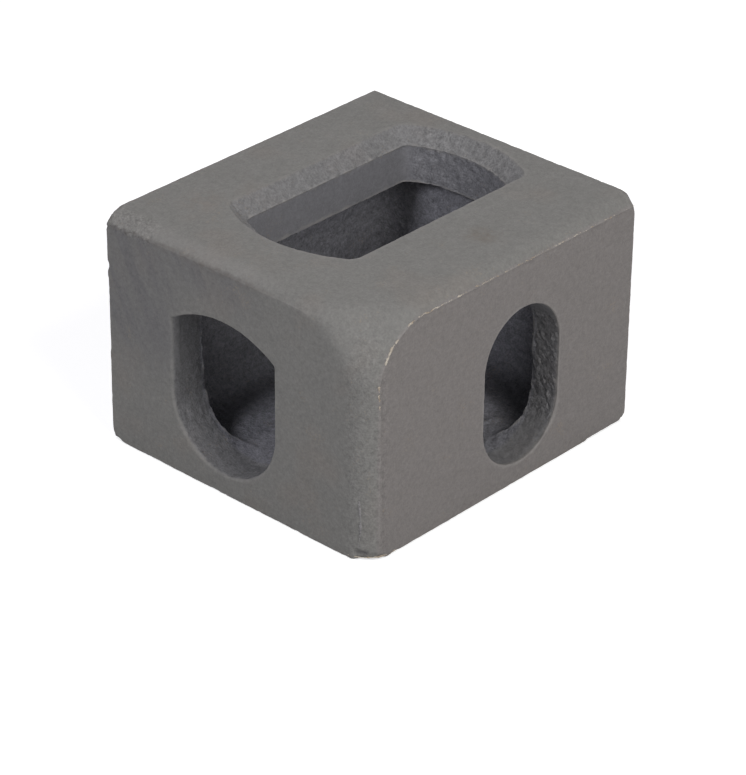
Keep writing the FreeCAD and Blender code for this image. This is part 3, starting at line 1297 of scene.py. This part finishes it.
@dataclass(frozen=True)
class Studio:
    """White floor, soft lamps, even surroundings and the camera."""

    azimuth: float = math.radians(-47.474)
    elevation: float = math.radians(30.02)
    roll: float = math.radians(0.535)
    distance: float = 1.594
    lens: float = 161.08
    aim_right: float = 1.06 * MM
    aim_up: float = -32.08 * MM
    surroundings: Colour = (0.058, 0.058, 0.064, 1.0)
    floor_reach: float = 12.0
    floor_sink: float = 0.2 * MM
    floor_paint: Colour = (0.6, 0.6, 0.6, 1.0)
    floor_lit: Colour = (0.55, 0.55, 0.55, 1.0)
    floor_share: float = 0.4
    lamps: tuple[Lamp, ...] = (
        Lamp("overhead", (0.28, 0.21, 1.0), 2.8, 0.14, 0.15, (0.98, 0.96, 1.0)),
        Lamp("front_high", (-0.12, -1.0, 0.85), 1.5, 0.8, 0.50, (1.0, 0.98, 0.95)),
        Lamp("front_low", (-0.05, -1.0, 0.3), 2.0, 1.6, 0.245, (0.93, 0.96, 1.0)),
        Lamp("left_high", (-1.0, 0.0, 0.8), 2.2, 0.6, 0.45, (0.945, 0.95, 1.0)),
        Lamp("back", (0.7, 0.7, 0.35), 2.2, 1.0, 0.09),
    )

    def build_floor(self) -> None:
        """Lay the floor."""
        mesh = bpy.data.meshes.new("floor")
        reach = self.floor_reach
        level = -self.floor_sink
        corners = [(-reach, -reach, level), (reach, -reach, level),
                   (reach, reach, level), (-reach, reach, level)]
        mesh.from_pydata(corners, [], [(0, 1, 2, 3)])
        material, bench = new_material("floor_white")
        seen = self.seen_directly(bench)
        glow = bench.add("ShaderNodeEmission", {"Color": (1, 1, 1, 1), "Strength": 1.0}).outputs[0]
        paint = bench.add("ShaderNodeBsdfDiffuse", {"Color": self.floor_paint}).outputs[0]
        lit = bench.add("ShaderNodeBsdfDiffuse", {"Color": self.floor_lit}).outputs[0]
        share = bench.add("ShaderNodeMixShader", {0: self.floor_share, 1: glow, 2: lit}).outputs[0]
        both = bench.add("ShaderNodeAddShader", {0: share, 1: lit}).outputs[0]
        mixed = bench.add("ShaderNodeMixShader", {0: seen, 1: paint, 2: both}).outputs[0]
        bench.add("ShaderNodeOutputMaterial", {"Surface": mixed})
        mesh.materials.append(material)
        place_object("floor", mesh)

    def seen_directly(self, bench: Bench) -> Socket:
        """Whether a ray is the camera's own, or one that gloss or glass sends on.

        Args:
            bench: The nodes of a material or of the world.

        Returns:
            Output that is 1 for such a ray.
        """
        rays = bench.add("ShaderNodeLightPath").outputs
        sent_on = bench.math("MAXIMUM", rays["Is Glossy Ray"], rays["Is Transmission Ray"])
        return bench.math("MAXIMUM", rays["Is Camera Ray"], sent_on)

    def build_surroundings(self) -> None:
        """Set the even light from all sides, white where it is seen."""
        world = bpy.data.worlds.new("surroundings")
        bpy.context.scene.world = world
        world.use_nodes = True
        world.node_tree.nodes.clear()
        bench = Bench(world.node_tree)
        shown = bench.blend(self.seen_directly(bench), self.surroundings, (1.0, 1.0, 1.0, 1.0))
        sky = bench.add("ShaderNodeBackground", {"Color": shown, "Strength": 1.0}).outputs[0]
        bench.add("ShaderNodeOutputWorld", {"Surface": sky})

    def build_camera(self, middle: Vector) -> None:
        """Set the camera where the photograph was taken from.

        Args:
            middle: Middle of the casting.
        """
        level = math.cos(self.elevation)
        back = Vector((math.sin(self.azimuth) * level, -math.cos(self.azimuth) * level,
                       math.sin(self.elevation)))
        right = (-back).cross(Vector((0, 0, 1))).normalized()
        up = right.cross(-back)
        aim = middle + right * self.aim_right + up * self.aim_up
        turned_right = right * math.cos(self.roll) + up * math.sin(self.roll)
        turned_up = up * math.cos(self.roll) - right * math.sin(self.roll)
        data = bpy.data.cameras.new("camera")
        data.lens = self.lens
        data.sensor_width = 36.0
        data.clip_start = 0.05
        camera = place_object("camera", data)
        axes = Matrix((turned_right, turned_up, back)).transposed()
        camera.matrix_world = Matrix.Translation(aim + back * self.distance) @ axes.to_4x4()
        bpy.context.scene.camera = camera

    def build(self, middle: Vector) -> None:
        """Set up the whole studio.

        Args:
            middle: Middle of the casting.
        """
        self.build_floor()
        self.build_surroundings()
        for lamp in self.lamps:
            lamp.build(middle)
        self.build_camera(middle)
        bpy.context.scene.view_settings.view_transform = "Standard"
        log.info("studio: %d lamps", len(self.lamps))


def mount_place(name: str) -> Vector:
    """Place of one of the record's mounts."""
    return next(Vector(mount["pos_m"]) for mount in frame["record"]["mounts"] if mount["name"] == name)


def under_skin(skin: bpy.types.Object, place: Place, sink: float) -> Vector:
    """Place a little under the skin.

    Args:
        skin: The casting's skin.
        place: A place near it, in metres.
        sink: How far under the skin.

    Returns:
        The place.
    """
    _, spot, normal, _ = skin.closest_point_on_mesh(Vector(place))
    return spot - normal * sink


def lay_seams(casting: Casting, skin: bpy.types.Object, effects: SharedEffects) -> None:
    """Lay the flash along the ground face, its rail end and the foot, and the ridge up the upright.

    Args:
        casting: The casting.
        skin: Its skin.
        effects: The shared shader groups.
    """
    flash = FlashSkin().build(effects)
    tree = Seam.tree()
    bead = 0.47 * MM
    fine = {"spacing": 0.26 * MM, "stretch": 1.3, "stray": 0.2 * MM}
    border = casting.crease(bead * 0.9, bead * 0.7)
    tip = [place for place in border if place.x > 70 * MM]
    Seam("border_flash", bead, at(-72, -81, 96), 70 * MM, gaps=0.46, faint=0.4,
         seed=3.0, **fine).build(tree, border, flash)
    Seam("tip_flash", bead, at(86, -81, 112), 40 * MM, gaps=0.3, faint=0.6,
         seed=8.0, **fine).build(tree, tip, flash)
    upright = []
    for z in range(38, 6, -1):
        sway = 0.3 * math.sin(z / 4)
        upright.append(under_skin(skin, at(-87.6 - sway, -74.6 + sway, z), 0.2 * MM))
    ridge = FlashSkin("ridge_skin", colour(124, 122, 122), colour(117, 115, 115)).build(effects)
    Seam("upright_flash", 0.6 * MM, at(-87.5, -74.6, 20), 30 * MM, gaps=0.2, faint=0.7,
         spacing=0.35 * MM, seed=5.0).build(tree, upright, ridge)
    along_foot = (at(-89, -69, 1.6), at(-88.4, -72.5, 1.7), at(-87, -75.5, 1.8), at(-84.5, -78.2, 1.8),
                  at(-81.5, -80.2, 1.7), at(-78, -81, 1.4), at(-74, -81, 1.0), at(-70, -81, 1.0))
    foot = [under_skin(skin, place, 0.1 * MM) for place in along_foot]
    Seam("foot_flash", 0.42 * MM, at(-82, -79, 1), 24 * MM, gaps=0.22, faint=0.6,
         spacing=0.3 * MM, seed=6.0).build(tree, foot, flash)


def main() -> None:
    """Build the casting, its flash lines and the studio."""
    logging.basicConfig(level=logging.INFO, format="%(name)s: %(message)s")
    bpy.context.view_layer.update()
    low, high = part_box(NODE)
    top_hole = mount_place("top_aperture")
    effects = SharedEffects(grain_group(), speck_group())
    casting = Casting(low, high, top_hole.x, top_hole.y)
    skin = casting.build(CastSkin().build(effects))
    lay_seams(casting, skin, effects)
    Studio().build((low + high) / 2)


if __name__ == "__main__":
    main()
